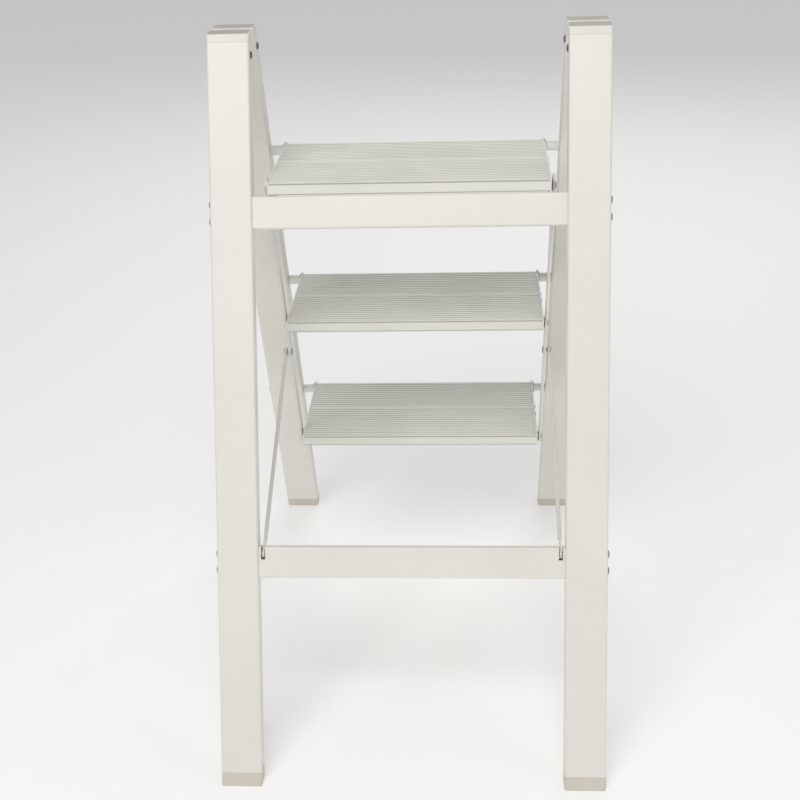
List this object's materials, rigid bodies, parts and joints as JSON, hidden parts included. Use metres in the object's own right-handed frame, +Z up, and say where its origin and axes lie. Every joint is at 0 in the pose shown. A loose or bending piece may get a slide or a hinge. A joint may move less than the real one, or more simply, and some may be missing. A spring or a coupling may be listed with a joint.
{
  "type": "folding step stool",
  "caption": "Folding A-frame step stool with ribbed treads, wide box legs, hinged tops, side links and thin braces.",
  "frame": {"origin": "on the floor, under the middle of the open stool", "axes": "+Z up, +Y towards the climbing side, +X across the stool along the hinge axis"},
  "size_m": [0.4756, 0.7316, 0.838],
  "materials": {
    "frame_paint": "satin warm white powder coat",
    "tread_metal": "matt ribbed, light grey",
    "plate_paint": "satin light grey",
    "tube_metal": "satin drawn tube",
    "hinge_plastic": "fine moulded grain, warm white",
    "foot_plastic": "fine moulded grain, light grey",
    "bush_nylon": "smooth nylon",
    "washer_plastic": "dark smooth nylon",
    "link_steel": "satin light grey",
    "screw_zinc": "dull zinc plate",
    "bolt_dark": "dark plated"
  },
  "bodies": {
    "step_frame": {"step_leg_left": "frame_paint", "step_leg_right": "frame_paint", "step_foot_left": "foot_plastic", "step_foot_right": "foot_plastic", "step_hinge_head_left": "hinge_plastic", "step_hinge_head_right": "hinge_plastic", "hinge_pin_left": "screw_zinc", "hinge_pin_right": "screw_zinc", "step_head_bolts": "bolt_dark", "pivot_tube_top": "tube_metal", "pivot_tube_middle": "tube_metal", "pivot_tube_bottom": "tube_metal", "pivot_tube_inserts": "bush_nylon", "pivot_tube_screws": "screw_zinc"},
    "support_frame": {"support_leg_left": "frame_paint", "support_leg_right": "frame_paint", "support_foot_left": "foot_plastic", "support_foot_right": "foot_plastic", "support_hinge_head_left": "hinge_plastic", "support_hinge_head_right": "hinge_plastic", "support_head_bolts": "bolt_dark", "upper_crossbar": "frame_paint", "lower_crossbar": "frame_paint", "crossbar_screws": "screw_zinc"},
    "tread_top": {"tread_top_outer_plank": "tread_metal", "tread_top_inner_plank": "tread_metal", "tread_top_end_plate_left": "plate_paint", "tread_top_end_plate_right": "plate_paint", "tread_top_bushes": "bush_nylon", "tread_top_screws": "screw_zinc"},
    "tread_middle": {"tread_middle_outer_plank": "tread_metal", "tread_middle_inner_plank": "tread_metal", "tread_middle_end_plate_left": "plate_paint", "tread_middle_end_plate_right": "plate_paint", "tread_middle_bushes": "bush_nylon", "tread_middle_screws": "screw_zinc"},
    "tread_bottom": {"tread_bottom_outer_plank": "tread_metal", "tread_bottom_inner_plank": "tread_metal", "tread_bottom_end_plate_left": "plate_paint", "tread_bottom_end_plate_right": "plate_paint", "tread_bottom_bushes": "bush_nylon", "tread_bottom_screws": "screw_zinc"},
    "link_left": {"link_bar_left": "link_steel", "link_rivets_left": "bolt_dark", "link_washers_left": "washer_plastic", "brace_stud_left": "bolt_dark"},
    "link_right": {"link_bar_right": "link_steel", "link_rivets_right": "bolt_dark", "link_washers_right": "washer_plastic", "brace_stud_right": "bolt_dark"},
    "brace_left": {"brace_rod_left": "link_steel", "brace_cap_left": "bolt_dark"},
    "brace_right": {"brace_rod_right": "link_steel", "brace_cap_right": "bolt_dark"}
  },
  "joints": [
    {"name": "fold", "type": "hinge", "parent": "step_frame", "child": "support_frame", "pos_m": [0, 0, 0.822], "axis": [1, 0, 0], "range_deg": [0, 43.54]},
    {"name": "tread_top_tilt", "type": "hinge", "parent": "step_frame", "child": "tread_top", "pos_m": [0, 0.0849, 0.6709], "axis": [1, 0, 0], "range_deg": [-65.61, 0]},
    {"name": "tread_middle_tilt", "type": "hinge", "parent": "step_frame", "child": "tread_middle", "pos_m": [0, 0.16739, 0.46435], "axis": [1, 0, 0], "range_deg": [-65.61, 0]},
    {"name": "tread_bottom_tilt", "type": "hinge", "parent": "step_frame", "child": "tread_bottom", "pos_m": [0, 0.24988, 0.2578], "axis": [1, 0, 0], "range_deg": [-65.61, 0]},
    {"name": "link_left_swing", "type": "hinge", "parent": "tread_top", "child": "link_left", "pos_m": [-0.1704, -0.0661, 0.6631], "axis": [1, 0, 0], "range_deg": [0, 65.61]},
    {"name": "brace_left_swing", "type": "hinge", "parent": "support_frame", "child": "brace_left", "pos_m": [-0.1794, -0.24742, 0.26397], "axis": [1, 0, 0], "range_deg": [0, 35.26]},
    {"name": "link_right_swing", "type": "hinge", "parent": "tread_top", "child": "link_right", "pos_m": [0.1704, -0.0661, 0.6631], "axis": [1, 0, 0], "range_deg": [0, 65.61]},
    {"name": "brace_right_swing", "type": "hinge", "parent": "support_frame", "child": "brace_right", "pos_m": [0.1794, -0.24742, 0.26397], "axis": [1, 0, 0], "range_deg": [0, 35.26]}
  ],
  "couplings": [
    {"joint": "tread_top_tilt", "follows": "fold", "ratio": -1.5067},
    {"joint": "tread_middle_tilt", "follows": "fold", "ratio": -1.5067},
    {"joint": "tread_bottom_tilt", "follows": "fold", "ratio": -1.5067},
    {"joint": "link_left_swing", "follows": "fold", "ratio": 1.5067},
    {"joint": "brace_left_swing", "follows": "fold", "ratio": 0.80962},
    {"joint": "link_right_swing", "follows": "fold", "ratio": 1.5067},
    {"joint": "brace_right_swing", "follows": "fold", "ratio": 0.80962}
  ]
}
